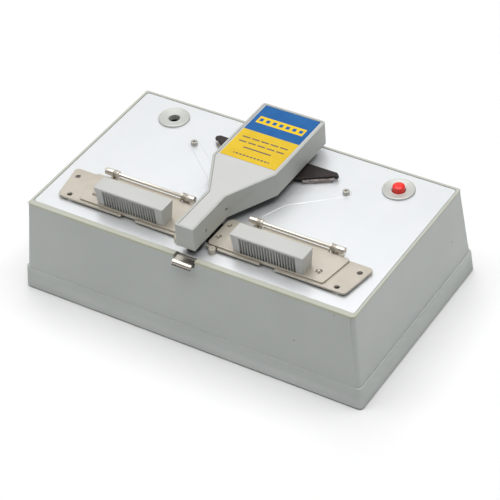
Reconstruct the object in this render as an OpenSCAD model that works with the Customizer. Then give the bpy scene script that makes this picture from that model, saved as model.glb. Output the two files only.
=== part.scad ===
// Motorised film splicer: a flat casing with a metal deck, a lifting grinder arm on the
// centre line and a hinged film holder on each side of it.
// Millimetres. Origin on the table under the middle of the casing. +X to the right,
// +Y to the back, +Z up. The stored pose is the arm down and both holders closed.

/* [Casing] */
// Length of the casing at its top rim
case_length = 200; // [180:1:220]
// Depth of the casing at its top rim
case_depth = 115.8; // [100:0.2:130]
// Height of the casing above its own bottom edge
case_height = 55.9; // [40:0.1:70]
// How far each wall leans out between rim and skirt
wall_flare = 3.8; // [0:0.1:8]
// Height of the stepped skirt
skirt_height = 12.7; // [6:0.1:20]
// Step at the top of the skirt, left and right
skirt_step_x = 1; // [0:0.1:3]
// Step at the top of the skirt, front and back
skirt_step_y = 0.5; // [0:0.1:3]
// How far the skirt itself leans out
skirt_flare = 0.85; // [0:0.05:3]
// Wall thickness of the casing
case_wall = 2.2; // [1.5:0.1:4]
// Radius of the upright corners
case_corner = 2.5; // [0.5:0.1:8]
// Gap between the casing's bottom edge and the table
foot_gap = 0.8; // [0.4:0.1:3]

/* [Deck] */
// Length of the deck plate
deck_length = 196; // [180:0.5:210]
// Front edge of the deck plate, from the centre line
deck_front = 54.4; // [45:0.1:60]
// Back edge of the deck plate, from the centre line
deck_back = 55.9; // [45:0.1:60]
// Thickness of the deck plate
deck_thick = 1; // [0.6:0.1:2]
// Sideways distance of the socket and the button from the centre
control_x = 71; // [60:0.5:85]
// Distance of the socket and the button behind the centre
control_y = 42; // [30:0.5:50]
// Outer radius of the two round bezels
bezel_r = 8.9; // [6:0.1:12]
// Radius of the power socket's hole
socket_r = 3.15; // [2:0.05:4]
// Radius of the push button
button_r = 3.38; // [2:0.02:6]
// Travel of the push button
button_travel = 1.8; // [0.5:0.1:3]

/* [Film holders] */
// Inner edge of both plates, from the centre line
plate_inner = 6; // [5.9:0.1:8]
// Front edge of the lower plates
lower_front = 46.2; // [44:0.1:50]
// Back edge of both plates
plate_back = 22.6; // [21:0.1:26]
// Thickness of the lower plates
lower_thick = 1.2; // [0.8:0.1:2]
// Thickness of the upper plates
upper_thick = 0.9; // [0.6:0.1:2]
// Distance of the hinge rods in front of the centre
rod_y = 20; // [18:0.1:22]
// Height of the hinge rods above the deck
rod_z = 5; // [4:0.1:7]
// Radius of the hinge rods
rod_r = 1; // [0.6:0.05:2]
// Radius of the rods' end caps
cap_r = 1.95; // [1.5:0.05:3]
// Height of the ribbed grips
grip_height = 11.3; // [6:0.1:16]
// Number of grooves in each grip
grip_grooves = 20; // [6:1:26]
// Spacing of those grooves
groove_pitch = 1.67; // [1.2:0.01:3]

/* [Grinder arm] */
// Half width of the arm at its tip
tip_half = 5.6; // [5:0.1:7]
// Half width of the arm over the motor
body_half = 19.6; // [15:0.1:24]
// Front face of the arm, from the centre line
arm_front = 55.4; // [50:0.1:57]
// Back face of the arm, from the centre line
arm_back = 55.9; // [50:0.1:57]
// Where the arm starts to widen
waist_y = -24.2; // [-30:0.1:-20]
// Where the arm reaches its full width
shoulder_y = 3.4; // [0:0.1:10]
// Height of the arm's underside above the deck
arm_under = 4.9; // [4:0.1:8]
// Height of the arm's rim above the deck
arm_top = 18.8; // [15:0.1:24]
// Wall thickness of the arm
arm_wall = 1.1; // [0.9:0.1:2]
// Height of the arm's hinge above the deck
hinge_z = 9.5; // [8.8:0.1:11]
// Distance of the arm's hinge behind the centre
hinge_y = 49.5; // [48:0.1:51]
// Height of the drive shaft above the deck
shaft_z = 7; // [6.5:0.1:8]
// Radius of the grinding roller
roller_r = 4.1; // [3:0.1:4.2]
// Tooth size of the gear pair
gear_module = 0.4; // [0.4:0.1:0.6]
// Teeth on the motor's pinion
pinion_teeth = 11; // [9:1:14]
// Teeth on the drive shaft's gear
gear_teeth = 9; // [8:1:12]

/* [Hidden] */
$fn = 48;
eps = 0.01;
floor_z = foot_gap;
rim_z = floor_z + case_height;
D = rim_z - 0.2;
deck_under = D - deck_thick;
// underside of the dust tray
tray_z = D - 3.8;
skirt_z = floor_z + skirt_height;
base_z = 1.2;
base_top = 3.2;
ledge_z = deck_under - 2.2;
body_l = case_length + 2 * wall_flare;
body_w = case_depth + 2 * wall_flare;
skirt_l = body_l + 2 * skirt_step_x;
skirt_w = body_w + 2 * skirt_step_y;
foot_l = skirt_l + 2 * skirt_flare;
foot_w = skirt_w + 2 * skirt_flare;
post_x = 95;
post_y = 50.5;
lower_z = 1.1;
lower_top = lower_z + lower_thick;
upper_z = lower_top + 0.1;
upper_top = upper_z + upper_thick;
pin_y = 37.9;
pinion_z = shaft_z + gear_module * (pinion_teeth + gear_teeth) / 2;
inlay_floor = arm_top - 0.7;
arm_roof = inlay_floor - 1.2;
waist_slope = (body_half - tip_half) / (shoulder_y - waist_y);
waist_shift = tan(atan(waist_slope) / 2);
swivel_y = 30;
stud_y = -47;
ear_thick = 0.65;

// ---- shared shapes ----

module rounded_rect(l, w, r) {
    square([l - 2 * r, w], center = true);
    square([l, w - 2 * r], center = true);
    for (x = [-1, 1], y = [-1, 1])
        translate([x * (l / 2 - r), y * (w / 2 - r)])
            circle(r = r);
}

module slab(l, w, r, z0, z1) {
    translate([0, 0, z0])
        linear_extrude(height = z1 - z0)
            rounded_rect(l, w, r);
}

// A leaning box between a lower and an upper rounded outline
module leaning_box(l0, w0, z0, l1, w1, z1, r) {
    hull() {
        slab(l0, w0, r, z0, z0 + eps);
        slab(l1, w1, r, z1 - eps, z1);
    }
}

module box(x0, x1, y0, y1, z0, z1) {
    translate([x0, y0, z0])
        cube([x1 - x0, y1 - y0, z1 - z0]);
}

module rod_x(x0, x1, y, z, r) {
    translate([x0, y, z])
        rotate([0, 90, 0])
            cylinder(r = r, h = x1 - x0);
}

module rod_y_axis(x, y0, y1, z, r) {
    translate([x, y0, z])
        rotate([-90, 0, 0])
            cylinder(r = r, h = y1 - y0);
}

module disc(x, y, z0, z1, r) {
    translate([x, y, z0])
        cylinder(r = r, h = z1 - z0);
}

// Extrudes a Y-Z outline along X from x0 to x1
module plate_x(x0, x1) {
    translate([x0, 0, 0])
        rotate([90, 0, 90])
            linear_extrude(height = x1 - x0)
                children();
}

module left_copy() {
    mirror([1, 0, 0])
        children();
}

// ---- casing ----

module casing_outside() {
    leaning_box(body_l, body_w, skirt_z - eps, case_length, case_depth, rim_z - 0.4, case_corner);
    // softened top edge
    leaning_box(case_length, case_depth, rim_z - 0.4 - eps,
        case_length - 0.6, case_depth - 0.6, rim_z, case_corner - 0.3);
    leaning_box(foot_l, foot_w, floor_z, skirt_l, skirt_w, skirt_z, case_corner);
}

module casing_hollow() {
    t = 2 * case_wall;
    leaning_box(body_l - t + 0.6, body_w - t + 0.6, floor_z - 1,
        case_length - t, case_depth - t, ledge_z, 1);
}

module casing() {
    color([0.64, 0.66, 0.65])
    difference() {
        union() {
            difference() {
                casing_outside();
                casing_hollow();
            }
            for (x = [-1, 1], y = [-1, 1])
                disc(x * post_x, y * post_y, base_top, ledge_z + eps, 4);
        }
        // pocket the deck plate lies in, and the opening under it
        translate([0, (deck_back - deck_front) / 2, 0])
            slab(deck_length + 0.6, deck_front + deck_back + 0.6, 1.8, deck_under, rim_z + 1);
        box(-93, 93, -50, 51, ledge_z - 1, rim_z);
        // notch the dust slide comes out through
        box(-6.4, 6.4, -70, -45, tray_z - 0.3, rim_z + 1);
        for (x = [-1, 1], y = [-1, 1])
            disc(x * post_x, y * post_y, base_top - 1, 15, 1.1);
    }
}

module bottom_plate() {
    color([0.2, 0.2, 0.21])
    difference() {
        slab(202.8, 118.6, 1.5, base_z, base_top);
        box(-54, 54, -29.2, 29.2, base_z - 1, base_top + 1);
        for (s = [-1, 1])
            box(s * 40 - 4.2, s * 40 + 4.2, -31.4, -29, base_z - 1, base_top + 1);
        for (s = [-1, 1])
            rod_x(s * 40 - 7.2, s * 40 + 7.2, -30.2, 2.2, 0.43);
        for (x = [-1, 1], y = [-1, 1]) {
            disc(x * post_x, y * post_y, base_z - 1, base_z + 1.3, 3.2);
            disc(x * post_x, y * post_y, base_z, base_top + 1, 1.4);
        }
    }
}

module feet() {
    color([0.08, 0.08, 0.08])
    for (x = [-1, 1], y = [-1, 1])
        disc(x * 84, y * 46, 0, base_z, 6);
}

module case_screws() {
    color([0.7, 0.7, 0.72])
    for (x = [-1, 1], y = [-1, 1])
        difference() {
            union() {
                disc(x * post_x, y * post_y, base_z + 0.1, base_z + 1.3, 2.9);
                disc(x * post_x, y * post_y, base_z + 1.2, 13, 1.05);
            }
            box(x * post_x - 0.4, x * post_x + 0.4, y * post_y - 2, y * post_y + 2,
                base_z - 1, base_z + 0.6);
        }
}

// ---- battery compartment ----

module battery_door() {
    color([0.24, 0.24, 0.25])
    difference() {
        union() {
            box(-53.7, 53.7, -28.3, 28.8, base_z, base_z + 1.6);
            for (s = [-1, 1]) {
                rod_x(s * 40 - 4, s * 40 + 4, -30.2, 2.2, 1);
                box(s * 40 - 4, s * 40 + 4, -30.2, -28.2, base_z + 0.3, base_z + 1.6);
            }
            // snap tongue on the free edge
            box(-6, 6, 26.6, 27.8, base_z + 1.5, base_top + 2);
        }
        for (s = [-1, 1])
            rod_x(s * 40 - 5, s * 40 + 5, -30.2, 2.2, 0.43);
        for (i = [0:3])
            box(-6, 6, 21 + i * 1.6, 21.8 + i * 1.6, base_z - 1, base_z + 0.4);
    }
}

module door_pins() {
    color([0.75, 0.75, 0.77])
    for (s = [-1, 1])
        rod_x(s * 40 - 7, s * 40 + 7, -30.2, 2.2, 0.4);
}

module battery_box() {
    color([0.13, 0.13, 0.14])
    difference() {
        box(-56, 56, -28.7, 28.7, base_top, 33);
        box(-54.4, 54.4, -27.2, -0.6, base_top - 1, 31.4);
        box(-54.4, 54.4, 0.6, 27.2, base_top - 1, 31.4);
        box(-6.3, 6.3, 26.3, 30, base_top - 1, base_top + 2.4);
    }
}

module cell(x, y) {
    rod_x(x - 24.3, x + 22.8, y, 17.4, 12.9);
    rod_x(x + 22.7, x + 24.3, y, 17.4, 3);
}

module cells() {
    color([0.16, 0.3, 0.5])
    for (x = [-24.4, 24.4], y = [-1, 1])
        cell(x, y * 13.9);
}

module battery_contacts() {
    color([0.78, 0.74, 0.6])
    for (y = [-1, 1]) {
        box(-54.3, -53.9, y * 13.9 - 5, y * 13.9 + 5, 12, 23);
        box(53.9, 54.3, y * 13.9 - 5, y * 13.9 + 5, 12, 23);
        rod_x(48.8, 54, y * 13.9, 17.4, 3.2);
        for (i = [0:2])
            rod_x(-53.9 + i * 1.7, -52.15 + i * 1.7, y * 13.9, 17.4, 4.5 - i);
    }
}

// Flat twin lead from the battery box up to a deck fitting on side s
module lead(s, top) {
    box(min(s * 50, s * (control_x - 1)), max(s * 50, s * (control_x - 1)), 19, 21, 33.1, 34);
    box(min(s * (control_x - 2), s * control_x), max(s * (control_x - 2), s * control_x),
        19, control_y + 1, 33.1, 34);
    box(min(s * (control_x - 2), s * control_x), max(s * (control_x - 2), s * control_x),
        control_y - 1, control_y + 1, 33.1, top);
}

module wiring() {
    color([0.7, 0.12, 0.1]) {
        lead(-1, D - 16.1);
        lead(1, D - 19);
    }
}

// ---- deck ----

// Raised outline pressed into the deck beside each guide post
module deck_relief() {
    linear_extrude(height = 0.13) {
        polygon([[45.9, 28.9], [19.8, 9.2], [24.8, 4.3], [49.5, 24.7]]);
        polygon([[24.3, 3.8], [18.1, -10.4], [12.4, -8.3], [19.2, 7.3]]);
        translate([47.8, 26.7])
            circle(r = 2.9);
    }
}

module deck_plate() {
    color([0.86, 0.87, 0.87])
    difference() {
        union() {
            translate([0, (deck_back - deck_front) / 2, 0])
                slab(deck_length, deck_front + deck_back, 1.5, deck_under, D);
            translate([0, 0, D - eps]) {
                deck_relief();
                left_copy()
                    deck_relief();
            }
        }
        box(-5.2, 5.2, -41.6, -24.5, deck_under - 1, D + 1);
        for (s = [-1, 1]) {
            disc(s * control_x, control_y, deck_under - 1, D + 1, 6);
            disc(s * 47.8, 26.7, deck_under - 1, D + 1, 1.1);
            disc(s * 10.4, stud_y, deck_under - 1, D + 1, 1.3);
            disc(s * 23.6, -0.8, D - 0.4, D + 1, 0.4);
        }
        disc(0, swivel_y, deck_under - 1, D + 1, 1.65);
    }
}

// Two angle strips under the deck that carry the dust slide
module slide_runners() {
    color([0.8, 0.81, 0.81])
    for (s = [-1, 1]) {
        box(s * 6.55 - 0.4, s * 6.55 + 0.4, -48, -20, tray_z - 0.7, deck_under);
        box(s * 5.95 - 1, s * 5.95 + 1, -48, -20, tray_z - 0.7, tray_z - 0.15);
    }
}

module guide_posts() {
    color([0.82, 0.81, 0.78])
    for (s = [-1, 1])
        difference() {
            union() {
                disc(s * 47.8, 26.7, D + 0.12, D + 2.2, 1.85);
                disc(s * 47.8, 26.7, deck_under - 1.5, D + 1, 1.05);
            }
            disc(s * 47.8, 26.7, D + 1.2, D + 4, 0.6);
        }
}

module locating_studs() {
    color([0.76, 0.72, 0.65])
    for (s = [-1, 1])
        difference() {
            union() {
                disc(s * 10.4, stud_y, D, D + 2.9, 2.15);
                disc(s * 10.4, stud_y, deck_under - 2, D + 1, 1.25);
            }
            for (i = [0:17])
                translate([s * 10.4, stud_y, D + 0.5])
                    rotate([0, 0, i * 20])
                        translate([2.2, 0, 0])
                            cylinder(r = 0.2, h = 3, $fn = 6);
        }
}

module splice_anvil() {
    color([0.55, 0.55, 0.57])
    difference() {
        box(-3.5, 3.5, -43.5, -22.2, D, D + lower_top);
        box(-0.3, 0.3, -45, -21, D + lower_top - 0.4, D + 5);
        box(-2.6, 2.6, -41.6, -25.5, D - 1, D + 1);
    }
}

// ---- power socket ----

module dished_bezel(hole_r, neck_r, neck_z) {
    difference() {
        union() {
            disc(0, 0, 0, 1.2, bezel_r);
            disc(0, 0, neck_z, 0.5, neck_r);
        }
        translate([0, 0, 0.2])
            cylinder(r1 = hole_r, r2 = bezel_r - 0.7, h = 1.05);
        disc(0, 0, neck_z - 1, 2, hole_r);
    }
}

module jack_bezel() {
    color([0.78, 0.79, 0.74])
    translate([-control_x, control_y, D])
        dished_bezel(socket_r, 5.9, -3);
}

module jack_socket() {
    color([0.05, 0.05, 0.05])
    translate([-control_x, control_y, D])
        difference() {
            disc(0, 0, -14.5, -3, 5.6);
            disc(0, 0, -12, -2, socket_r);
            disc(0, 0, -16, -11, 1.6);
        }
}

module jack_contact() {
    color([0.8, 0.65, 0.3])
    translate([-control_x, control_y, D]) {
        disc(0, 0, -16, -12.2, 1.5);
        disc(0, 0, -15.3, -14.6, 4);
    }
}

// ---- push button ----

module button_bezel() {
    color([0.79, 0.8, 0.78])
    translate([control_x, control_y, D])
        difference() {
            dished_bezel(button_r + 0.3, 5.9, -6);
            disc(0, 0, -7, -1, 4.9);
        }
}

module red_button() {
    color([0.85, 0.1, 0.1])
    translate([control_x, control_y, D]) {
        intersection() {
            disc(0, 0, -1.5, 3.6, button_r);
            translate([0, 0, -4])
                sphere(r = 7.6);
        }
        disc(0, 0, -2.6, -1.1, 4.6);
        disc(0, 0, -7, -2.5, 1.2);
    }
}

module button_spring() {
    turns = 5;
    pitch = 1.37;
    color([0.75, 0.75, 0.77])
    translate([control_x, control_y, D - 8.45]) {
        for (i = [0:turns - 1])
            translate([0, 0, i * pitch])
                rotate_extrude()
                    translate([2.3, 0])
                        circle(r = 0.32);
        for (i = [0:turns - 2])
            rotate([0, 0, i * 180])
                translate([2.3, 0, i * pitch])
                    cylinder(r = 0.3, h = pitch);
    }
}

module switch_body() {
    color([0.07, 0.07, 0.07])
    translate([control_x, control_y, D])
        difference() {
            union() {
                box(-6.2, 6.2, -6.2, 6.2, -18, -8.8);
                disc(0, 0, -18.9, -18, 1);
                for (s = [-1, 1])
                    box(s * 6.2 - 0.8, s * 6.2 + 0.8, -3, 3, -9, -1.3);
            }
            disc(0, 0, -12, -8, 1.5);
            disc(0, 0, -8.81, 0, 5.92);
        }
}

// ---- dust slide ----

module dust_slide() {
    color([0.8, 0.76, 0.69]) {
        // tongue with its lip turned down over the case rim
        box(-5.8, 5.8, -60.6, -44, D - 1.8, D - 1.3);
        rod_x(-5.8, 5.8, -60.6, D - 2.3, 1);
        box(-5.8, 5.8, -61.6, -60.9, tray_z - 0.4, D - 2.3);
        // tray under the deck window
        box(-5.8, 5.8, -45.4, -21, tray_z, tray_z + 0.5);
        box(-5.8, 5.8, -45.4, -44.8, tray_z, D - 1.3);
        box(-5.8, 5.8, -21.6, -21, tray_z, D - 1.8);
        for (s = [-1, 1])
            box(s * 5.5 - 0.3, s * 5.5 + 0.3, -45.4, -21, tray_z, D - 1.8);
    }
}

// ---- film holders, drawn for the right side ----

// Y-Z outline of a hinge ear: an eye on the rod and a web down to the plate
module ear(y0, y1, z0, web) {
    difference() {
        union() {
            translate([-rod_y, D + rod_z])
                circle(r = cap_r);
            polygon([[y0, D + z0], [y1, D + z0], [web, D + rod_z], [-rod_y - 1.8, D + rod_z]]);
        }
        translate([-rod_y, D + rod_z])
            circle(r = rod_r + 0.03);
    }
}

module hinge_bracket() {
    color([0.74, 0.71, 0.66])
    for (x = [22, 67.85])
        plate_x(x, x + ear_thick)
            ear(-22.2, -17.8, 0, -18.2);
    box(18.6, 22 + ear_thick, -22.2, -17.8, D, D + 0.7);
    box(67.85, 72, -22.2, -17.8, D, D + 0.7);
}

module hinge_rod() {
    color([0.8, 0.77, 0.72])
    difference() {
        union() {
            rod_x(17, 73.8, -rod_y, D + rod_z, rod_r);
            rod_x(17.3, 21.9, -rod_y, D + rod_z, cap_r);
            rod_x(17, 17.4, -rod_y, D + rod_z, cap_r - 0.3);
            rod_x(68.6, 73.5, -rod_y, D + rod_z, cap_r);
            rod_x(73.4, 73.8, -rod_y, D + rod_z, cap_r - 0.3);
            // collars inside the ears
            rod_x(24.25, 25.1, -rod_y, D + rod_z, cap_r + 0.1);
            rod_x(65.4, 66.25, -rod_y, D + rod_z, cap_r + 0.1);
        }
        rod_x(72, 74, -rod_y, D + rod_z, 0.7);
        rod_x(16, 18.5, -rod_y, D + rod_z, 0.7);
    }
}

// Both plates reach back under the rod between its collars
module back_tab() {
    polygon([[25.5, -24], [65, -24], [65, -20.2], [25.5, -20.2]]);
}

module lower_outline() {
    difference() {
        union() {
            polygon([[plate_inner, -lower_front], [86.1, -lower_front], [88.3, -44.2],
                [91.7, -24.6], [90, -plate_back], [plate_inner, -plate_back]]);
            translate([86, -44])
                circle(r = 2.2);
            translate([89.6, -24.8])
                circle(r = 2.2);
            back_tab();
        }
        // thumb notch, and the notch that drops over the locating stud
        polygon([[38.2, -50], [38.2, -44.4], [47.2, -44.4], [47.2, -50]]);
        translate([10.4, stud_y])
            circle(r = 2.5);
        translate([82, -43.2])
            circle(r = 1.4);
        translate([86.9, -28.5])
            circle(r = 1.4);
    }
}

module lower_plate() {
    color([0.8, 0.76, 0.71]) {
        translate([0, 0, D + lower_z])
            linear_extrude(height = lower_thick)
                lower_outline();
        for (x = [22.75, 67.1])
            plate_x(x, x + ear_thick) {
                ear(-21.6, -18.6, lower_top - 0.1, -18.2);
                polygon([[-23.6, D + lower_z], [-18.6, D + lower_z], [-18.6, D + lower_top],
                    [-23.6, D + lower_top]]);
            }
    }
}

module film_pins() {
    color([0.85, 0.84, 0.8])
    for (p = [[8.7, -pin_y], [68.6, -pin_y], [9.1, -27.6]])
        disc(p[0], p[1], D + lower_top, D + 3.9, p[1] == -27.6 ? 0.55 : 0.75);
}

module upper_outline() {
    difference() {
        union() {
            polygon([[plate_inner, -43.4], [plate_inner + 1.2, -44.8], [73.4, -44.8],
                [74.9, -43.4], [78, -24], [76.6, -22.4], [plate_inner + 1.6, -22.4],
                [plate_inner, -24.6]]);
            translate([73.4, -43.3])
                circle(r = 1.5);
            translate([76.5, -23.9])
                circle(r = 1.5);
            back_tab();
        }
        for (p = [[8.7, -pin_y, 1.7], [68.6, -pin_y, 1.75], [9.1, -27.6, 1.25]])
            translate([p[0], p[1]])
                circle(r = p[2]);
    }
}

module upper_plate() {
    color([0.82, 0.78, 0.73]) {
        difference() {
            translate([0, 0, D + upper_z])
                linear_extrude(height = upper_thick)
                    upper_outline();
            disc(13.4, -35.9, D + upper_top - 0.3, D + 5, 0.4);
        }
        for (x = [23.5, 66.35])
            plate_x(x, x + ear_thick) {
                ear(-21.6, -20, upper_z + 0.2, -18.2);
                polygon([[-23.6, D + upper_z], [-21, D + upper_z], [-20, D + rod_z - 1.5],
                    [-21.6, D + upper_top]]);
            }
    }
}

module grip() {
    base = D + upper_top;
    color([0.82, 0.82, 0.8])
    difference() {
        hull() {
            translate([42.3, -39.6, 0])
                slab(41.6, 8.8, 0.6, base, base + eps);
            translate([42.2, -39.7, 0]) {
                slab(43.4, 10.6, 0.7, base + grip_height - 0.6, base + grip_height - 0.4);
                slab(42.8, 10, 0.5, base + grip_height - eps, base + grip_height);
            }
        }
        for (i = [0:grip_grooves - 1])
            translate([42.2 + (i - (grip_grooves - 1) / 2) * groove_pitch - 0.4, -46.2, base - 1])
                cube([0.8, 2.4, grip_height - 0.2]);
    }
}

// ---- wing lever under the arm ----

module wing_half() {
    polygon([[0, 36.6], [36.8, 36.6], [38.4, 35.3], [38.4, 33.9], [36.8, 33.3],
        [22.6, 24], [15, 20.5], [0, 20.5]]);
}

module wing_lever() {
    color([0.22, 0.17, 0.16])
    difference() {
        union() {
            translate([0, 0, D + 2])
                linear_extrude(height = 1.5) {
                    wing_half();
                    mirror([1, 0])
                        wing_half();
                }
            for (s = [-1, 1])
                box(s * 37.5 - 0.9, s * 37.5 + 0.9, 33.7, 35.8, D + 1.2, D + 2.5);
            disc(0, swivel_y, D + 0.3, D + 3, 4.5);
        }
        disc(0, swivel_y, D - 1, D + 5, 1.66);
    }
}

module wing_strip() {
    translate([29.6, 28.2, D + 0.2])
        rotate([0, 0, 32.6])
            translate([-8.2, -0.9, 0])
                cube([16.4, 2, 1.8]);
}

module wing_strips() {
    color([0.6, 0.58, 0.56]) {
        wing_strip();
        left_copy()
            wing_strip();
    }
}

module wing_pivot() {
    color([0.75, 0.75, 0.77])
    difference() {
        union() {
            disc(0, swivel_y, D + 3.55, D + 4.4, 3.6);
            disc(0, swivel_y, deck_under - 3, D + 3.6, 1.6);
        }
        box(-0.4, 0.4, swivel_y - 3, swivel_y + 3, D + 4.1, D + 5);
    }
}

// ---- grinder arm ----

module arm_bracket() {
    color([0.7, 0.7, 0.71]) {
        box(-14.2, 14.2, 44, 55.2, D, D + 0.9);
        for (s = [-13.8, 12.8])
            plate_x(s, s + 1)
                difference() {
                    union() {
                        translate([hinge_y, D + hinge_z])
                            circle(r = 3);
                        translate([hinge_y - 3, D + 0.5])
                            square([6, hinge_z - 0.5]);
                    }
                    translate([hinge_y, D + hinge_z])
                        circle(r = 1.52);
                }
    }
}

module arm_pin() {
    color([0.78, 0.78, 0.8])
    rod_x(-17.4, 17.4, hinge_y, D + hinge_z, 1.5);
}

// Plan outline of the arm, moved inwards by t
module arm_outline(t) {
    r = 1.8;
    w = body_half - t;
    n = tip_half - t;
    y1 = waist_y + t * waist_shift;
    y2 = shoulder_y + t * waist_shift;
    b = arm_back - t;
    c = max(r - t, 0.3);
    polygon([[-n, t - arm_front], [n, t - arm_front], [n, y1], [w, y2], [w, b - c],
        [w - c, b], [c - w, b], [-w, b - c], [-w, y2], [-n, y1]]);
    for (s = [-1, 1])
        translate([s * (w - c), b - c])
            circle(r = c);
}

module arm_slab(t, z0, z1) {
    translate([0, 0, D + z0])
        linear_extrude(height = z1 - z0)
            arm_outline(t);
}

module arm_shell() {
    color([0.64, 0.66, 0.64])
    difference() {
        union() {
            difference() {
                arm_slab(0, arm_under, arm_top);
                arm_slab(arm_wall, arm_under - 1, arm_roof);
                arm_slab(1.4, inlay_floor, arm_top + 1);
            }
            // inner ribs that carry the hinge pin
            for (s = [-1, 1])
                box(s * 15.4 - 0.8, s * 15.4 + 0.8, 44.8, 55, D + 5.2, D + arm_roof + 0.1);
        }
        rod_x(-17, 17, hinge_y, D + hinge_z, 1.55);
        // lets the back wall pass the bracket's ears as the arm lifts
        box(-14.5, 14.5, 54, 57, D, D + 11.4);
        for (y = [-24.5, -43.9])
            rod_x(-7, 7, y, D + 10.4, 0.8);
    }
}

module arm_inlay() {
    color([0.86, 0.86, 0.84])
    arm_slab(1.5, inlay_floor, inlay_floor + 0.45);
}

module label() {
    color([0.12, 0.35, 0.68])
    box(-17.2, 17.2, 6.4, 54.1, D + inlay_floor + 0.45, D + inlay_floor + 0.6);
}

module arm_floor() {
    color([0.15, 0.15, 0.16])
    difference() {
        intersection() {
            arm_slab(arm_wall + 0.1, arm_under, arm_under + 1);
            box(-30, 30, -26.1, 41, D, D + 20);
        }
        box(-2.6, 2.6, 2.8, 7.2, D, D + 20);
    }
}

module arm_tip_plate() {
    color([0.15, 0.15, 0.16])
    intersection() {
        arm_slab(arm_wall + 0.1, arm_under, arm_under + 1);
        box(-30, 30, -60, -42.4, D, D + 20);
    }
}

module rest_foot() {
    color([0.04, 0.04, 0.04])
    disc(0, -47.7, D + 0.05, D + arm_under, 4);
}

module motor() {
    color([0.72, 0.72, 0.74])
    translate([0, 0, D + pinion_z])
        difference() {
            union() {
                intersection() {
                    rod_y_axis(0, 9, 36, 0, 10);
                    box(-12, 12, 8, 37, -5, 5);
                }
                rod_y_axis(0, 36, 37.5, 0, 3);
                rod_y_axis(0, 8.2, 9, 0, 2.2);
            }
            rod_y_axis(0, 8, 20, 0, 0.8);
        }
}

// One tooth of a spur gear, as [angle in degrees, radius] from its middle
function tooth(teeth) =
    let (rp = gear_module * teeth / 2, a = 360 / teeth)
    [[-0.32 * a, rp - 1.2 * gear_module], [-0.2 * a, rp],
        [-0.081 * a, rp + 0.8 * gear_module], [0.081 * a, rp + 0.8 * gear_module],
        [0.2 * a, rp], [0.32 * a, rp - 1.2 * gear_module]];

module spur(teeth, turn) {
    polygon([for (i = [0:teeth - 1]) for (p = tooth(teeth))
        let (w = 90 - p[0] - i * 360 / teeth - turn)
        [p[1] * cos(w), p[1] * sin(w)]]);
}

// The same gear lying across the Y axis, centred z above the deck
module spur_y(teeth, turn, z, bore_r) {
    translate([0, 6.4, D + z])
        rotate([90, 0, 0])
            linear_extrude(height = 2.8)
                difference() {
                    spur(teeth, turn);
                    circle(r = bore_r);
                }
}

module motor_shaft() {
    color([0.8, 0.8, 0.82])
    rod_y_axis(0, 3.4, 18, D + pinion_z, 0.75);
}

module motor_pinion() {
    color([0.85, 0.75, 0.45])
    spur_y(pinion_teeth, 180, pinion_z, 0.76);
}

module drive_shaft() {
    color([0.8, 0.8, 0.82])
    rod_y_axis(0, -46, 8, D + shaft_z, 0.8);
}

module shaft_gear() {
    color([0.9, 0.88, 0.8])
    spur_y(gear_teeth, 180 / gear_teeth, shaft_z, 0.81);
}

module grinding_roller() {
    color([0.12, 0.11, 0.11])
    difference() {
        rod_y_axis(0, -41.4, -27, D + shaft_z, roller_r);
        rod_y_axis(0, -42, -26, D + shaft_z, 0.81);
    }
}

module shaft_bearings() {
    color([0.8, 0.68, 0.4])
    for (b = [[-43.9, 4.3], [-24.5, 4.3], [0, 8]])
        difference() {
            box(-b[1], b[1], b[0] - 1.4, b[0] + 1.4, D + arm_under + 1.05, D + 14);
            rod_y_axis(0, b[0] - 2, b[0] + 2, D + shaft_z, 0.85);
            if (b[0] < -1)
                rod_x(-6, 6, b[0], D + 10.4, 0.52);
        }
}

module bearing_screws() {
    color([0.3, 0.3, 0.3])
    for (y = [-24.5, -43.9], s = [-1, 1])
        rod_x(s * 3.1 - 1.1, s * 3.1 + 1.1, y, D + 10.4, 0.5);
}

// ---- which node is drawn ----

casing();
bottom_plate();
feet();
case_screws();
battery_door();
door_pins();
battery_box();
cells();
battery_contacts();
wiring();
deck_plate();
slide_runners();
guide_posts();
locating_studs();
splice_anvil();
jack_bezel();
jack_socket();
jack_contact();
button_bezel();
red_button();
button_spring();
switch_body();
dust_slide();
left_copy() hinge_bracket();  // hinge_bracket_left
hinge_bracket();  // hinge_bracket_right
left_copy() hinge_rod();  // hinge_rod_left
hinge_rod();  // hinge_rod_right
left_copy() lower_plate();  // lower_plate_left
lower_plate();  // lower_plate_right
left_copy() film_pins();  // film_pins_left
film_pins();  // film_pins_right
left_copy() upper_plate();  // upper_plate_left
upper_plate();  // upper_plate_right
left_copy() grip();  // grip_left
grip();  // grip_right
wing_lever();
wing_strips();
wing_pivot();
arm_bracket();
arm_pin();
arm_shell();
arm_inlay();
label();
arm_floor();
arm_tip_plate();
rest_foot();
motor();
motor_shaft();
motor_pinion();
shaft_bearings();
bearing_screws();
drive_shaft();
shaft_gear();
grinding_roller();
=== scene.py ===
# %% [markdown]
# # A motorised film splicer, piece by piece
# The object is a grey moulded case with a satin metal deck. On the deck sit a grinder arm on the
# centre line and a hinged film clamp on each side of it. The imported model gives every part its
# place and size, so this lesson only adds finishes, softened edges and the finer shapes.

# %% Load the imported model
import math

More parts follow.
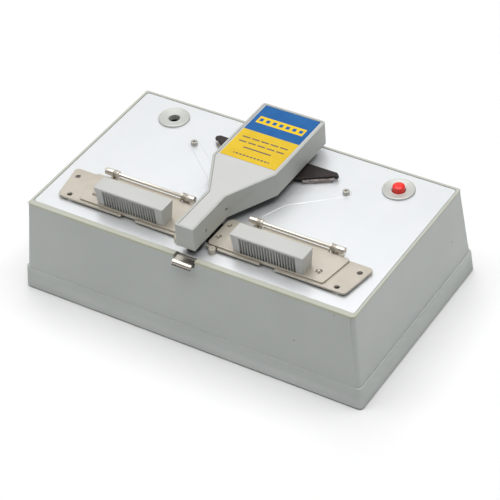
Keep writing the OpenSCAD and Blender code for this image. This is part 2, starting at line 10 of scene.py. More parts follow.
import bmesh
import bpy
import numpy as np
from mathutils import Matrix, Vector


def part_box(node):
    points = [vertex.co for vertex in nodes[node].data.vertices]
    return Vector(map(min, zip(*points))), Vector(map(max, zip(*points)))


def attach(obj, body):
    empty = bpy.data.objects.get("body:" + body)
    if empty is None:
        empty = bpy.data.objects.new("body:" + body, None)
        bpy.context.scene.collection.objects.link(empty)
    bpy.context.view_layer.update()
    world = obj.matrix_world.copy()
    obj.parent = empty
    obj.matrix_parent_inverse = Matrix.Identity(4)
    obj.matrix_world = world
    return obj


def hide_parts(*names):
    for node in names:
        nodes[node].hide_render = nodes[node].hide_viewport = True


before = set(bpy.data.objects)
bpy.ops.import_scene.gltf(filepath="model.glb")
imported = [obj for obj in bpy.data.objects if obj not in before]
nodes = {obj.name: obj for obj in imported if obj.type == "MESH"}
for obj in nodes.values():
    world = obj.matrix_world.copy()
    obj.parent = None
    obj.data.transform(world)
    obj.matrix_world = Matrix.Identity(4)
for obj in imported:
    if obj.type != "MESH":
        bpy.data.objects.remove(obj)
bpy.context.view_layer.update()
scene = bpy.context.scene
MM = 0.001

# %% [markdown]
# ## Camera
# A long lens from the right and above, tilted a few degrees. The camera is placed from its own
# axes: `back` points from the object to the lens, `right` lies level, and the roll turns both
# about the line of sight. Two small shifts along its axes put the object in the frame.

# %% Camera
AZIMUTH, ELEVATION, ROLL = math.radians(34.325), math.radians(39.685), math.radians(-4.427)
DISTANCE, SHIFT_RIGHT, SHIFT_UP = 1.12988, 0.000425, 0.014074
TARGET_LIFT = 0.00084
SENSOR_MM, LENS_MM = 36.0, 148.52


def camera_axes(azimuth, elevation, roll):
    """Rows right, up, back: back is the direction to the lens, right = (cos a, sin a, 0),
    up = back x right, and the first two are turned by the roll."""
    back = np.array([math.sin(azimuth) * math.cos(elevation),
                     -math.cos(azimuth) * math.cos(elevation), math.sin(elevation)])
    level = np.array([math.cos(azimuth), math.sin(azimuth), 0.0])
    up = np.cross(back, level)
    c, s = math.cos(roll), math.sin(roll)
    return np.array([c * level + s * up, c * up - s * level, back])


axes = camera_axes(AZIMUTH, ELEVATION, ROLL)
camera_data = bpy.data.cameras.new("studio_camera")
camera_data.sensor_width, camera_data.lens = SENSOR_MM, LENS_MM
camera_data.clip_start, camera_data.clip_end = 0.05, 20.0
camera = bpy.data.objects.new("studio_camera", camera_data)
scene.collection.objects.link(camera)
place = np.eye(4)
place[:3, :3] = axes.T
place[:3, 3] = axes.T @ np.array([SHIFT_RIGHT, SHIFT_UP, DISTANCE]) + [0, 0, TARGET_LIFT]
camera.matrix_world = Matrix(place.tolist())
scene.camera = camera
print("camera at", np.round(place[:3, 3], 3).tolist())

# %% [markdown]
# ## Light
# A product table: a white floor, a large soft light overhead, a white backdrop that the polished
# parts mirror, two weak fills and a dim even sky. Level faces come out about twice as bright as
# upright ones, and the right side a little brighter than the front.
# The standard view transform is used, because it shows measured colours as they are.

# %% Floor, sky and lights
scene.view_settings.view_transform = "Standard"
scene.view_settings.look = "None"
SKY_STRENGTH = 0.06


def soft_light(name, at, aim, side, watts):
    """A square area light at one point, turned to face another."""
    data = bpy.data.lights.new(name, "AREA")
    data.shape, data.size, data.energy = "SQUARE", side, watts
    lamp = bpy.data.objects.new(name, data)
    scene.collection.objects.link(lamp)
    back = np.array(at, float) - np.array(aim, float)
    back /= np.linalg.norm(back)
    side_axis = np.cross([0.0, 1.0, 0.0], back)
    side_axis /= np.linalg.norm(side_axis)
    turn = np.eye(4)
    turn[:3, 0], turn[:3, 1], turn[:3, 2] = side_axis, np.cross(back, side_axis), back
    turn[:3, 3] = at
    lamp.matrix_world = Matrix(turn.tolist())
    return lamp


sky = bpy.data.worlds.new("studio_sky")
sky.use_nodes = True
sky.node_tree.nodes["Background"].inputs["Color"].default_value = (1.0, 1.0, 1.0, 1.0)
sky.node_tree.nodes["Background"].inputs["Strength"].default_value = SKY_STRENGTH
scene.world = sky
AIM = (0, 0, 0.03)
soft_light("overhead", (-0.05, 0.05, 1.6), AIM, 1.8, 31.5)
soft_light("white_backdrop", (-1.2, 1.9, 1.2), AIM, 2.0, 8.8)
soft_light("right_fill", (1.0, 0.3, 1.2), AIM, 1.2, 4.6)
soft_light("front_fill", (-0.95, -0.5, 0.7), AIM, 0.8, 1.8)

# %% [markdown]
# ## Writing shader maths as sums
# A small class wraps a node socket and overloads the arithmetic operators, so a mask can be
# written as `1 - wear * 0.5` and the Math nodes appear by themselves. Every other node comes from
# one method, which sets the node's settings first and its sockets second.


# %% Sockets that can be added and multiplied
class Wire:
    """One output socket of a finish, with arithmetic."""

    def __init__(self, finish, socket):
        self.finish, self.socket = finish, socket

    def _math(self, operation, *values):
        settings = {"operation": operation}
        return self.finish.add("ShaderNodeMath", settings, dict(enumerate(values)))

    def __add__(self, other):
        return self._math("ADD", self, other)

    def __sub__(self, other):
        return self._math("SUBTRACT", self, other)

    def __rsub__(self, other):
        return self._math("SUBTRACT", other, self)

    def __mul__(self, other):
        return self._math("MULTIPLY", self, other)

    def __abs__(self):
        return self._math("ABSOLUTE", self)

    def least(self, other):
        return self._math("MINIMUM", self, other)

    __radd__ = __add__
    __rmul__ = __mul__


class Finish:
    """A material with its principled shader, and the node helpers used below."""

    def __init__(self, name, **flat):
        self.material = bpy.data.materials.new(name)
        self.material.use_nodes = True
        self.tree = self.material.node_tree
        self.shader = self.tree.nodes["Principled BSDF"]
        self.place = self.add("ShaderNodeTexCoord", {}, {}, out="Object")
        for socket, value in flat.items():
            self.feed(socket.replace("_", " "), value)

    def add(self, kind, settings, inputs, out=0):
        """Any node: its settings first, then the values or links of its sockets."""
        node = self.tree.nodes.new(kind)
        for key, value in settings.items():
            if key == "stops":
                ramp = node.color_ramp
                for stop, (at, colour) in zip((ramp.elements[0], ramp.elements[1]), value):
                    stop.position, stop.color = at, (*colour, 1.0)
            else:
                setattr(node, key, value)
        for key, value in inputs.items():
            self.plug(node.inputs[key], value)
        return Wire(self, node.outputs[out])

    def plug(self, socket, value):
        if isinstance(value, Wire):
            self.tree.links.new(value.socket, socket)
        elif isinstance(value, tuple) and len(value) == 3 and socket.type == "RGBA":
            socket.default_value = (*value, 1.0)
        else:
            socket.default_value = value

    def feed(self, socket, value):
        self.plug(self.shader.inputs[socket], value)

    def axis(self, letter):
        return self.add("ShaderNodeSeparateXYZ", {}, {0: self.place}, out=letter)

    def stretched(self, scale):
        return self.add("ShaderNodeMapping", {}, {"Vector": self.place, "Scale": scale})

    def noise(self, scale, detail=3.0, roughness=0.55, at=None):
        return self.add("ShaderNodeTexNoise", {}, {
            "Vector": at or self.place, "Scale": scale, "Detail": detail, "Roughness": roughness})

    def specks(self, scale, size):
        """1 inside sparse round spots: the distance to the nearest of a set of random points is
        less than size, in cells."""
        near = self.add("ShaderNodeTexVoronoi", {}, {
            "Vector": self.place, "Scale": scale}, out="Distance")
        return self.ramp(near, size, size * 0.4)

    def ramp(self, value, start, end):
        """A soft step from 0 at start to 1 at end."""
        return self.add("ShaderNodeMapRange", {"interpolation_type": "SMOOTHSTEP"}, {
            "Value": value, "From Min": start, "From Max": end})

    def mix(self, share, a, b):
        return self.add("ShaderNodeMix", {"data_type": "RGBA"}, {0: share, 6: a, 7: b}, out=2)

    def bump(self, height, depth):
        """Fine relief, depth in metres for a height of 1."""
        self.feed("Normal", self.add("ShaderNodeBump", {}, {"Height": height, "Distance": depth}))


# %% [markdown]
# ## Moulded grey plastic
# The case, the arm and the grips are one family of plastic: smooth, slightly mottled, with a fine
# moulding texture, a few dirt specks and a yellowed rim where hands rest. The colour is a mix of
# two near greys by slow noise, and masks on the object's own coordinates place the ageing and the
# painted shade in the grip grooves.


# %% Plastic finishes
GRIP_X, GRIP_Y = 42.2, -39.7
RIM_FRONT = -52.0


def moulded(name, pale, deep, roughness=0.46, speck_size=0.0):
    f = Finish(name, IOR=1.5)
    slow = f.noise(28, 2)
    grain = f.noise(1500, 2)
    colour = f.mix(f.ramp(slow, 0.3, 0.7), pale, deep)
    if speck_size:
        colour = f.mix(f.specks(52, speck_size) * 0.5, colour, (0.16, 0.15, 0.12))
    f.colour = colour
    f.feed("Base Color", colour)
    f.feed("Roughness", roughness + 0.10 * slow - 0.05)
    f.bump(grain, 0.00003)
    return f


def case_plastic():
    f = moulded("case_grey", (0.500, 0.530, 0.510), (0.478, 0.508, 0.490), speck_size=0.045)
    rim_z = float(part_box("casing")[1][2])
    z = f.axis("Z")
    edge = f.ramp(z, rim_z - 1.5 * MM, rim_z - 0.7 * MM)
    top = f.ramp(z, rim_z - 0.25 * MM, rim_z - 0.05 * MM)
    front = f.ramp(f.axis("Y"), RIM_FRONT * MM, (RIM_FRONT - 3.5) * MM)
    patches = f.ramp(f.noise(60, 3), 0.25, 0.6)
    aged = f.mix(edge * (0.35 + 0.65 * front) * (0.6 + 0.4 * patches), f.colour,
                 (0.455, 0.462, 0.325))
    f.feed("Base Color", f.mix(top * 0.8, aged, (0.475, 0.480, 0.425)))
    return f


def grip_plastic():
    """Pale plastic with painted shade in the grooves: dark where a point lies behind the front
    face, in front of the groove floors, between the end ribs and below the top edge."""
    f = moulded("grip_grey", (0.545, 0.550, 0.530), (0.515, 0.522, 0.500), 0.42)
    top = float(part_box("grip_right")[1][2])
    y = f.axis("Y")
    face, floor, half_row = -43.9, -40.6, 17.0
    behind = (f.ramp(y, face * MM, (face + 0.6) * MM)
              * f.ramp(y, floor * MM, (floor - 0.6) * MM))
    from_middle = abs(abs(f.axis("X")) - GRIP_X * MM)
    between = f.ramp(from_middle, half_row * MM, (half_row - 0.4) * MM)
    below = f.ramp(f.axis("Z"), top - 0.9 * MM, top - 1.4 * MM)
    # painted shade: the groove recesses are mixed towards a near-black grey
    f.feed("Base Color", f.mix(behind * between * below * 0.75, f.colour, (0.16, 0.16, 0.14)))
    return f


case_grey = case_plastic()
grip_grey = grip_plastic()
arm_grey = moulded("arm_grey", (0.466, 0.478, 0.448), (0.442, 0.456, 0.428))
inlay_grey = moulded("inlay_grey", (0.560, 0.560, 0.545), (0.535, 0.535, 0.520), 0.50)
base_black = moulded("base_black", (0.030, 0.030, 0.032), (0.024, 0.024, 0.026), 0.55)
part_black = moulded("part_black", (0.018, 0.018, 0.019), (0.013, 0.013, 0.014), 0.40)
nylon = moulded("nylon", (0.72, 0.70, 0.62), (0.68, 0.66, 0.58), 0.38)
print("plastics made:", case_grey.material.name, arm_grey.material.name, grip_grey.material.name)

# %% [markdown]
# ## Metals
# The deck is satin silver with the faint grain of a brushed sheet. The clamps are nickel plated
# and a little warm and tarnished, and the rods and the tab are the same plate left bright. Grain
# is noise stretched along the direction of rubbing.


# %% Metal finishes
def metal(name, pale, deep, roughness, spread, grain_scale, grain_depth, metallic=1.0):
    f = Finish(name, Metallic=metallic)
    patches = f.noise(60, 3, 0.55)
    grain = f.noise(1.0, 3, 0.6, at=f.stretched(grain_scale))
    f.colour = f.mix(f.ramp(patches, 0.3, 0.7), pale, deep)
    f.feed("Base Color", f.colour)
    f.feed("Roughness", roughness + spread * (grain - 0.5))
    f.bump(grain, grain_depth)
    return f


def deck_metal():
    f = metal("deck_silver", (0.800, 0.820, 0.835), (0.785, 0.806, 0.822), 0.40, 0.10,
              (120, 2600, 2600), 0.000006, metallic=0.62)
    dust = f.specks(260, 0.050)
    f.feed("Base Color", f.mix(dust * 0.35, f.colour, (0.32, 0.27, 0.22)))
    return f


deck_silver = deck_metal()
warm_nickel = metal("warm_nickel", (0.600, 0.555, 0.480), (0.530, 0.487, 0.415), 0.40, 0.16,
                    (2600, 1100, 2600), 0.00001, metallic=0.60)
slide_nickel = metal("slide_nickel", (0.620, 0.580, 0.520), (0.560, 0.520, 0.460), 0.24, 0.08,
                     (200, 2600, 2600), 0.000002, metallic=0.92)
tarnished = metal("tarnished_nickel", (0.520, 0.505, 0.455), (0.430, 0.415, 0.375), 0.42, 0.10,
                  (900, 900, 900), 0.000006, metallic=0.60)
bright_nickel = metal("bright_nickel", (0.790, 0.745, 0.670), (0.760, 0.715, 0.640), 0.30, 0.03,
                      (200, 900, 900), 0.0000002, metallic=0.82)
zinc = metal("zinc_steel", (0.620, 0.625, 0.635), (0.540, 0.545, 0.555), 0.32, 0.14,
             (900, 900, 900), 0.000006)
ground_steel = metal("ground_steel", (0.470, 0.470, 0.480), (0.400, 0.400, 0.415), 0.28, 0.12,
                     (2200, 200, 2200), 0.000006)
bezel_silver = metal("bezel_silver", (0.560, 0.575, 0.540), (0.530, 0.545, 0.505), 0.42, 0.10,
                     (1500, 1500, 1500), 0.000006, metallic=0.25)
brass = metal("brass", (0.780, 0.600, 0.280), (0.700, 0.520, 0.230), 0.30, 0.12,
              (1200, 1200, 1200), 0.000005)
wing_brown = metal("wing_brown", (0.026, 0.018, 0.016), (0.018, 0.013, 0.011), 0.40, 0.16,
                   (600, 600, 600), 0.00002, metallic=0.20)
# painted shade: near-black steel for the bearing screws, so the holes in the arm's sides look dark
painted_shade_steel = metal("painted_shade_steel", (0.020, 0.020, 0.020), (0.014, 0.014, 0.014), 0.50, 0.10,
                   (900, 900, 900), 0.000006, metallic=0.60)
print("metals made: deck, nickel, zinc, steel, brass and the brown lever")

# %% [markdown]
# ## Small finishes
# The button is glossy red, the rubber foot is matt black, the roller is coarse, and the lever's
# strip is streaked. The label is one printed sheet: blue over yellow, with plain bars in place of
# any words. Its pattern follows the object's coordinates, so each bar is a product of soft steps.


# %% Button, rubber, roller, strip and lead
def plain(name, pale, deep, scale, roughness, depth):
    f = Finish(name)
    spots = f.noise(scale, 3)
    f.feed("Base Color", f.mix(f.ramp(spots, 0.35, 0.65), pale, deep))
    f.feed("Roughness", roughness + 0.08 * spots)
    f.bump(spots, depth)
    return f


button_red = plain("button_red", (0.900, 0.030, 0.020), (0.840, 0.026, 0.018), 300, 0.20, 0.000004)
rubber = plain("black_rubber", (0.012, 0.012, 0.012), (0.018, 0.018, 0.018), 900, 0.60, 0.00002)
abrasive = plain("abrasive", (0.035, 0.030, 0.030), (0.010, 0.009, 0.009), 2600, 0.80, 0.00012)
lead_red = plain("lead_red", (0.420, 0.020, 0.016), (0.360, 0.016, 0.014), 500, 0.40, 0.000006)
cell_wrap = plain("cell_wrap", (0.030, 0.100, 0.300), (0.026, 0.090, 0.280), 120, 0.30, 0.000004)


def strip_finish():
    f = Finish("strip_streaked")
    streaks = f.noise(1.0, 4, 0.7, at=f.stretched((420, 420, 3000)))
    f.feed("Base Color", f.mix(f.ramp(streaks, 0.38, 0.62), (0.42, 0.38, 0.36), (0.13, 0.11, 0.10)))
    f.feed("Roughness", 0.55 + 0.2 * streaks)
    f.bump(streaks, 0.00005)
    return f


strip_grey = strip_finish()


# %% Label
LABEL_SPLIT = 31.1 * MM
PRINT_HALF = 14.5 * MM


def label_finish():
    f = Finish("label_print", Specular_IOR_Level=0.12)
    x, y = f.axis("X"), f.axis("Y")

    def band(value, low, high, soft=0.00012):
        return f.ramp(value, low - soft, low + soft) * f.ramp(value, high + soft, high - soft)

    def dashes(pitch, share):
        """1 on the first share of every pitch along X."""
        wave = f.add("ShaderNodeMath", {"operation": "PINGPONG"}, {0: x, 1: pitch / 2})
        return f.ramp(wave, pitch * share / 2 + 0.0001, pitch * share / 2 - 0.0001)

    wear = f.ramp(f.noise(90, 4, 0.7), 0.35, 0.75)
    colour = f.mix(f.ramp(y, LABEL_SPLIT - 0.2 * MM, LABEL_SPLIT + 0.2 * MM),
                   f.mix(wear, (0.720, 0.500, 0.036), (0.670, 0.445, 0.032)),
                   f.mix(wear, (0.018, 0.110, 0.325), (0.026, 0.135, 0.360)))
    inside = band(x, -PRINT_HALF, PRINT_HALF)
    film = inside * band(y, 0.0385, 0.0445)
    holes = dashes(0.0041, 0.55) * band(y, 0.0402, 0.0428)
    colour = f.mix(film * (1 - holes), colour, (0.840, 0.560, 0.020))
    lines = band(y, 0.0243, 0.0252) + band(y, 0.0203, 0.0212)
    short = band(x, -0.0085, 0.0085) * band(y, 0.0160, 0.0169)
    tiny = band(x, -0.0110, 0.0110) * band(y, 0.0098, 0.0108) * dashes(0.0022, 0.7)
    ink = (inside * lines * dashes(0.0058, 0.82) + short + tiny).least(1.0)
    colour = f.mix(ink * 0.9, colour, (0.060, 0.060, 0.120))
    f.feed("Base Color", colour)
    f.feed("Roughness", 0.60 + 0.10 * wear)
    f.bump(f.noise(260, 3), 0.00003)
    return f


label_print = label_finish()
print(f"small finishes made, label split at y = {LABEL_SPLIT / MM:.1f} mm")

# %% [markdown]
# ## Building meshes from arrays
# A new piece is a grid of points worked out at once with numpy. One helper turns a grid into
# faces by index sums, another joins shells into a mesh, merges the seams and turns the faces
# outwards.


# %% Mesh helpers
def grid_faces(rows, columns, wrap=True):
    """Quads between neighbours of a rows x columns grid of points, numbered row by row.
    With wrap the last column joins the first."""
    i, j = np.meshgrid(np.arange(rows - 1), np.arange(columns if wrap else columns - 1),
                       indexing="ij")
    k = (j + 1) % columns
    quads = [i * columns + j, i * columns + k, (i + 1) * columns + k, (i + 1) * columns + j]
    return np.stack(quads, -1).reshape(-1, 4)


def shell(points):
    """A closed shell from a rows x columns x 3 grid: the columns go round, and the first and
    last rows are closed with a fan to their middle point."""
    rows, columns = points.shape[:2]
    middle = points[[0, -1]].mean(1)
    corners = np.concatenate([points.reshape(-1, 3), middle])
    j = np.arange(columns)
    k = (j + 1) % columns
    low = np.stack([np.full(columns, rows * columns), k, j, j], -1)
    top = (rows - 1) * columns
    high = np.stack([np.full(columns, rows * columns + 1), top + j, top + k, top + k], -1)
    return corners, [grid_faces(rows, columns), low[:, :3], high[:, :3]]


def build(name, shells, body, finish, stands_for=(), sharp=35):
    """One object from closed shells, riding on a body and standing for CAD nodes."""
    corners, faces, start = [], [], 0
    for points, groups in shells:
        corners.append(points)
        for group in groups:
            faces.extend((group + start).tolist())
        start += len(points)
    mesh = bpy.data.meshes.new(name)
    mesh.from_pydata(np.concatenate(corners).tolist(), [], faces)
    work = bmesh.new()
    work.from_mesh(mesh)
    bmesh.ops.remove_doubles(work, verts=work.verts, dist=1e-7)
    bmesh.ops.recalc_face_normals(work, faces=work.faces)
    work.to_mesh(mesh)
    work.free()
    mesh.polygons.foreach_set("use_smooth", np.ones(len(mesh.polygons), bool))
    mesh.set_sharp_from_angle(angle=math.radians(sharp))
    mesh.materials.append(finish.material)
    piece = bpy.data.objects.new(name, mesh)
    scene.collection.objects.link(piece)
    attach(piece, body)
    if stands_for:
        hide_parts(*stands_for)
    print(f"{name}: {len(mesh.vertices)} points, {len(mesh.polygons)} faces")
    return piece


def turned(profile, centre, axis, steps=48, ribs=None):
    """A turned shape. A profile point at height h and radius r goes to
    centre + h * axis + r * (a cos t + b sin t), with t once round the circle and a, b across
    the axis. ribs(t, h) scales the radius."""
    profile = np.array(profile, float)
    axis = np.array(axis, float)
    a = np.roll(axis, 1)
    b = np.cross(axis, a)
    t = np.arange(steps) * 2 * np.pi / steps
    h, r = profile[:, :1], profile[:, 1:2]
    if ribs is not None:
        r = r * ribs(t[None, :], h)
    ring = np.cos(t)[:, None] * a + np.sin(t)[:, None] * b
    points = np.array(centre, float) + h[..., None] * axis + np.broadcast_to(
        r, (len(profile), steps))[..., None] * ring[None]
    return shell(points)


def rounded(profile, radius, steps=5):
    """The profile with each inner corner replaced by an arc-like curve: between the two points
    a radius before and after the corner, p = (1-s)^2 A + 2 s (1-s) C + s^2 B."""
    p = np.array(profile, float)
    before, corner, after = p[:-2], p[1:-1], p[2:]
    to_a, to_b = before - corner, after - corner
    la = np.linalg.norm(to_a, axis=1, keepdims=True)
    lb = np.linalg.norm(to_b, axis=1, keepdims=True)
    reach = np.minimum(radius, np.minimum(la, lb) * 0.48)
    a, b = corner + to_a / la * reach, corner + to_b / lb * reach
    s = np.linspace(0, 1, steps)[None, :, None]
    arc = (1 - s) ** 2 * a[:, None] + 2 * s * (1 - s) * corner[:, None] + s**2 * b[:, None]
    return np.concatenate([p[:1], arc.reshape(-1, 2), p[-1:]])


def mirrored(shells):
    return [(points * [-1, 1, 1], faces) for points, faces in shells]


def middle_of(node):
    low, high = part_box(node)
    return (np.array(low) + np.array(high)) / 2


# %% [markdown]
# ## Round fittings on the deck
# The two bezels, the button, the guide posts and the studs are all turned parts, so each is one
# profile carried round a circle. The bezels have a soft outer lip and a shallow dish. The studs
# are knurled, which is the same shape with a radius that ripples round the circle.

# %% Bezels and button
BEZEL_HEIGHT = 1.2
DECK = float(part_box("jack_bezel")[1][2]) - BEZEL_HEIGHT * MM
jack_x, jack_y = middle_of("jack_bezel")[:2]
button_x = float(middle_of("button_bezel")[0])


def bezel_profile(hole, neck, depth):
    """Height and radius in metres: up the neck, out to the lip, over it and down the dish."""
    outline = [(-depth, hole), (-depth, neck), (0.0, neck), (0.0, 8.9), (0.95, 8.9),
               (BEZEL_HEIGHT, 8.2),
               (0.95, 7.4), (0.35, hole + 0.9), (0.45, hole + 0.5), (0.2, hole), (-depth, hole)]
    return rounded(outline, 0.22) * MM


def ring(profile, centre, steps=64):
    """A turned ring whose profile is a closed loop round the hole."""
    t = np.arange(steps) * 2 * np.pi / steps
    h, r = profile[:-1, 0, None], profile[:-1, 1, None]
    points = np.stack([centre[0] + r * np.cos(t), centre[1] + r * np.sin(t),
                       centre[2] + h + 0 * t], -1)
    rows = len(points)
    faces = grid_faces(rows, steps)
    last = grid_faces(2, steps)
    last = np.where(last < steps, last + (rows - 1) * steps, last - steps)
    return points.reshape(-1, 3), [faces, last]


build("jack_bezel_turned", [ring(bezel_profile(3.15, 5.9, 3.0), (jack_x, jack_y, DECK))],
      "base", bezel_silver, ["jack_bezel"])
build("button_bezel_turned", [ring(bezel_profile(3.68, 5.9, 1.0), (button_x, jack_y, DECK)),
                              ring(np.array([[-6, 4.9], [-6, 5.9], [-0.95, 5.9], [-0.95, 4.9],
                                             [-6, 4.9]]) * MM, (button_x, jack_y, DECK))],
      "base", bezel_silver, ["button_bezel"])
cap = rounded([(-7, 0), (-7, 1.2), (-2.6, 1.2), (-2.6, 4.6), (-1.1, 4.6), (-1.1, 3.38),
               (3.05, 3.3), (3.55, 1.9), (3.6, 0)], 0.45, 6) * MM
build("red_button_cap", [turned(cap, (button_x, jack_y, DECK), (0, 0, 1))],
      "button", button_red, ["red_button"])

# %% Guide posts and knurled studs
POST_X, POST_Y, STUD_X = 47.8, 26.7, 10.4
post = rounded([(-2.5, 0), (-2.5, 1.05), (0.12, 1.05), (0.12, 1.85), (2.15, 1.85), (2.2, 0.7),
                (1.2, 0.6), (1.2, 0)], 0.18) * MM
post_at = [(s * POST_X * MM, POST_Y * MM, DECK) for s in (-1, 1)]
build("guide_posts_turned", [turned(post, at, (0, 0, 1)) for at in post_at],
      "base", tarnished, ["guide_posts"])
stud = rounded([(-3, 0), (-3, 1.25), (0, 1.25), (0, 2.05), (0.4, 2.15), (2.5, 2.15), (2.9, 1.8),
                (2.9, 0.6), (2.75, 0)], 0.12) * MM


def knurl(t, h):
    """1 plus a small ripple 22 times round, only between the stud's two chamfers."""
    along = np.clip((h - 0.3 * MM) / (0.3 * MM), 0, 1) * np.clip((2.6 * MM - h) / (0.3 * MM), 0, 1)
    return 1 + 0.045 * (np.abs(np.cos(11 * t)) - 1) * along


stud_y = float(middle_of("locating_studs")[1])
stud_at = [(s * STUD_X * MM, stud_y, DECK) for s in (-1, 1)]
build("studs_knurled", [turned(stud, at, (0, 0, 1), 132, knurl) for at in stud_at],
      "base", warm_nickel, ["locating_studs"])

# %% [markdown]
# ## Hinge rods
# Each rod is a thin bright bar with a thicker sleeve at both ends, and the open ends are bored.
# The ears of the clamps turn between each sleeve and a narrow collar. One profile along the rod
# holds all of it.

# %% Hinge rods
rod_middle = middle_of("hinge_rod_right")
rod_profile = rounded([
    (18.5, 0), (18.5, 0.7), (17.0, 0.7), (17.0, 1.65), (17.4, 1.95), (21.9, 1.95), (21.9, 1.0),
    (24.25, 1.0), (24.25, 2.05), (25.1, 2.05), (25.1, 1.0), (65.4, 1.0), (65.4, 2.05),
    (66.25, 2.05), (66.25, 1.0), (68.6, 1.0), (68.6, 1.95), (73.4, 1.95), (73.8, 1.65),
    (73.8, 0.7), (72.0, 0.7), (72.0, 0)], 0.16, 4) * MM
rod = [turned(rod_profile, (0, rod_middle[1], rod_middle[2]), (1, 0, 0))]
build("hinge_rod_right_turned", rod, "base", bright_nickel, ["hinge_rod_right"])
build("hinge_rod_left_turned", mirrored(rod), "base", bright_nickel,
      ["hinge_rod_left"])

# %% [markdown]
# ## Dust slide
# One strip of sheet runs from the tray's back wall along its floor, up to the tongue and over the
# lip. It is a path in Y and Z with rounded corners, given a thickness: each path point moves half
# the thickness to both sides along its normal, and the strip closes into a flat tube. Two side
# walls finish the tray.


# %% Dust slide
def bent_strip(path, thickness, half_width):
    """The rows follow the path. Each row is the four corners (+-w, p + n t/2), (+-w, p - n t/2),
    with n the path's tangent (dy, dz) turned to (-dz, dy)."""
    tangent = np.gradient(path, axis=0)
    tangent /= np.linalg.norm(tangent, axis=1, keepdims=True)
    lift = np.stack([-tangent[:, 1], tangent[:, 0]], -1) * thickness / 2
    corners = [(-half_width, path + lift), (half_width, path + lift),
               (half_width, path - lift), (-half_width, path - lift)]
    rows = [np.concatenate([np.full((len(path), 1), x), yz], 1) for x, yz in corners]
    return shell(np.stack(rows, 1))


def block(low, high):
    """A plain box between two corners, as a shell of two rows."""
    x0, y0, z0 = low
    x1, y1, z1 = high
    row = np.array([[x0, y0, 0], [x1, y0, 0], [x1, y1, 0], [x0, y1, 0]], float)
    return shell(np.stack([row + [0, 0, z0], row + [0, 0, z1]]))


SHEET = 0.5
TONGUE = float(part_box("dust_slide")[1][2]) / MM - SHEET / 2
FLOOR = TONGUE - 2.0
strip = rounded([(-21.3, TONGUE - 0.4), (-21.3, FLOOR), (-45.1, FLOOR), (-45.1, TONGUE),
                 (-59.5, TONGUE), (-60.6, TONGUE - 0.44), (-61.1, TONGUE - 1.0),
                 (-60.65, TONGUE - 1.65), (-61.3, TONGUE - 2.4)], 0.42, 9) * MM
walls = [block((s * 5.5 - 0.3, -45.3, FLOOR - 0.2), (s * 5.5 + 0.3, -21.1, TONGUE - 0.3))
         for s in (-1, 1)]
walls = [(points * MM, faces) for points, faces in walls]
build("dust_slide_bent", [bent_strip(strip, SHEET * MM, 5.8 * MM), *walls], "slide_tray",
      slide_nickel, ["dust_slide"])

# %% [markdown]
# ## Ribbed grips
# A grip is a block that widens a little towards its top, with rounded edges and a row of upright
# grooves in its front face. It is a stack of outlines: each outline is a rounded rectangle whose
# front side is pushed in by a periodic groove function, and the groove depth fades out just
# below the top edge.

# %% Grips
GROOVES, PITCH, DEPTH, GROOVE_WIDTH = 20, 1.67, 2.3, 0.88
GRIP_LENGTH, GRIP_DEPTH, SPREAD, CORNER, EDGE = 41.6, 8.8, 1.8, 0.7, 0.45


def groove(x):
    """0 on a rib and 1 in a groove: a flat-bottomed pulse round each groove's middle."""
    k = (x - GRIP_X) / PITCH + (GROOVES - 1) / 2
    away = np.abs(k - np.clip(np.round(k), 0, GROOVES - 1)) * PITCH
    return np.clip((GROOVE_WIDTH / 2 + 0.12 - away) / 0.24, 0, 1)


def grip_outline(length, depth, corner, samples):
    """Points once round a rounded rectangle: the front from left to right, then the right,
    the back and the left, with an arc at each corner."""
    half_l, half_d = length / 2 - corner, depth / 2 - corner
    arc = np.linspace(0, np.pi / 2, 6)
    front = np.stack([samples * half_l, np.full(len(samples), -depth / 2)], -1)
    turn = [np.stack([sx * half_l + corner * np.cos(arc + start),
                      sy * half_d + corner * np.sin(arc + start)], -1)
            for sx, sy, start in ((1, -1, -np.pi / 2), (1, 1, 0), (-1, 1, np.pi / 2),
                                  (-1, -1, np.pi))]
    return np.concatenate([front, *turn])


def grip_block(base, top):
    height = (top - base) / MM
    z = np.array([0, 0.4, 1.2, 3, 6, height - 2.0, height - 1.45, height - 1.3, height - 1.15,
                  height - 0.9, height - 0.45, height - 0.2, height - 0.06, height])
    over = np.clip((z - height + EDGE) / EDGE, 0, 1)
    edge = 0.42 * (1 - np.sqrt(np.clip(1 - over**2, 0, 1)))
    grow = np.clip(z / (height - EDGE), 0, 1)
    fade = np.clip((height - 1.15 - z) / 0.3, 0, 1)
    samples = np.linspace(-1, 1, 421)
    loops = []
    for level, cut, share, deep in zip(z, edge, grow, fade):
        wider = SPREAD * share - 2 * cut
        loop = grip_outline(GRIP_LENGTH + wider, GRIP_DEPTH + wider, CORNER, samples)
        x, y = loop[:, 0] + GRIP_X, loop[:, 1] + GRIP_Y
        face = (loop[:, 1] < loop[:, 1].min() + 1e-6) * 1.0
        loops.append(np.stack([x, y + face * deep * DEPTH * groove(x), 0 * x + level], -1))
    points = np.array(loops) * MM
    points[..., 2] += base
    return shell(points)


grip_low, grip_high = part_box("grip_right")
grip = [grip_block(float(grip_low[2]), float(grip_high[2]))]
build("grip_right_ribbed", grip, "upper_right", grip_grey, ["grip_right"],
      sharp=50)
build("grip_left_ribbed", mirrored(grip), "upper_left", grip_grey, ["grip_left"],
      sharp=50)
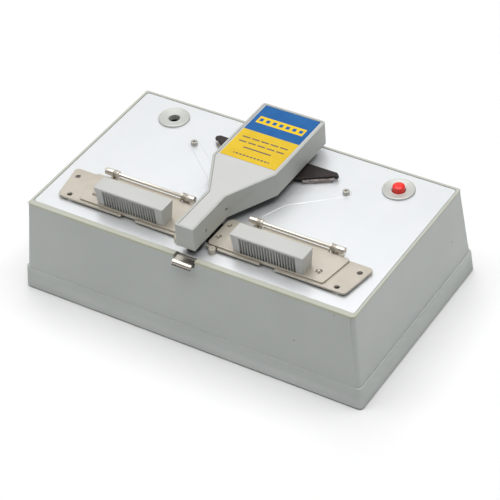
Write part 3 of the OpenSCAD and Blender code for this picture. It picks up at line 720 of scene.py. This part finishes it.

# %% [markdown]
# ## The remaining parts
# These keep their imported shape, which is exact. The imported meshes are loose triangles, so three
# live modifiers tidy each one that is given an edge width: Weld joins the triangles, Decimate
# dissolves flat areas into whole faces, and Bevel rounds the sharp edges by the amount a moulding
# or a sheet would have.


# %% Edges and finishes of the imported parts
def soften(node, width, segments=2):
    """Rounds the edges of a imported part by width, in millimetres, without touching its mesh."""
    piece = nodes[node]
    mesh = piece.data
    normals = mesh.attributes.get("custom_normal")
    if normals is not None:
        mesh.attributes.remove(normals)
    mesh.polygons.foreach_set("use_smooth", np.ones(len(mesh.polygons), bool))
    weld = piece.modifiers.new("weld", "WELD")
    weld.merge_threshold = 2e-6
    flat = piece.modifiers.new("flat", "DECIMATE")
    flat.decimate_type, flat.angle_limit = "DISSOLVE", math.radians(0.6)
    bevel = piece.modifiers.new("bevel", "BEVEL")
    bevel.width, bevel.segments = width * MM, segments
    bevel.limit_method, bevel.angle_limit = "ANGLE", math.radians(32)
    bevel.use_clamp_overlap = False
    bevel.harden_normals = True
    bevel.miter_outer = "MITER_ARC"


def dress(finish, names, width=0.0, segments=2):
    for node in names.split():
        nodes[node].data.materials.clear()
        nodes[node].data.materials.append(finish.material)
        if width:
            soften(node, width, segments)


dress(case_grey, "casing", 0.12)
dress(deck_silver, "deck_plate", 0.12)
dress(deck_silver, "slide_runners", 0.1)
dress(arm_grey, "arm_shell", 0.2, 3)
dress(inlay_grey, "arm_inlay", 0.12)
dress(label_print, "label", 0.03)
dress(base_black, "bottom_plate battery_door", 0.2)
dress(part_black, "battery_box jack_socket switch_body arm_floor arm_tip_plate", 0.08)
dress(rubber, "feet rest_foot", 0.3)
dress(zinc, "case_screws door_pins button_spring arm_bracket arm_pin wing_pivot")
# painted shade: the bearing screws are near black to stand in for the dark inside their holes
dress(painted_shade_steel, "bearing_screws")
dress(zinc, "motor motor_shaft drive_shaft")
dress(cell_wrap, "cells", 0.2)
dress(brass, "battery_contacts jack_contact motor_pinion shaft_bearings")
dress(lead_red, "wiring")
dress(ground_steel, "splice_anvil", 0.08)
dress(warm_nickel, "hinge_bracket_left hinge_bracket_right", 0.1)
dress(warm_nickel, "lower_plate_left lower_plate_right upper_plate_left upper_plate_right", 0.2)
dress(bright_nickel, "film_pins_left film_pins_right", 0.08)
dress(wing_brown, "wing_lever", 0.25)
dress(strip_grey, "wing_strips", 0.1)
dress(nylon, "shaft_gear")
dress(abrasive, "grinding_roller", 0.2)
print("packed parts dressed:", sum(1 for n in nodes.values() if not n.hide_render))

# %% [markdown]
# ## Floor
# A plain white sheet under the object. It isn't part of it.


# %% Floor
def floor_sheet(side):
    """A square of the given side at z = 0."""
    corners = np.array([[-1, -1, 0], [1, -1, 0], [1, 1, 0], [-1, 1, 0]], float) * side / 2
    mesh = bpy.data.meshes.new("floor")
    mesh.from_pydata(corners.tolist(), [], [[0, 1, 2, 3]])
    sheet = bpy.data.objects.new("floor", mesh)
    scene.collection.objects.link(sheet)
    paper = Finish("white_paper", Base_Color=(0.89, 0.89, 0.89), Roughness=0.9)
    mesh.materials.append(paper.material)
    return sheet


floor_sheet(14.0)
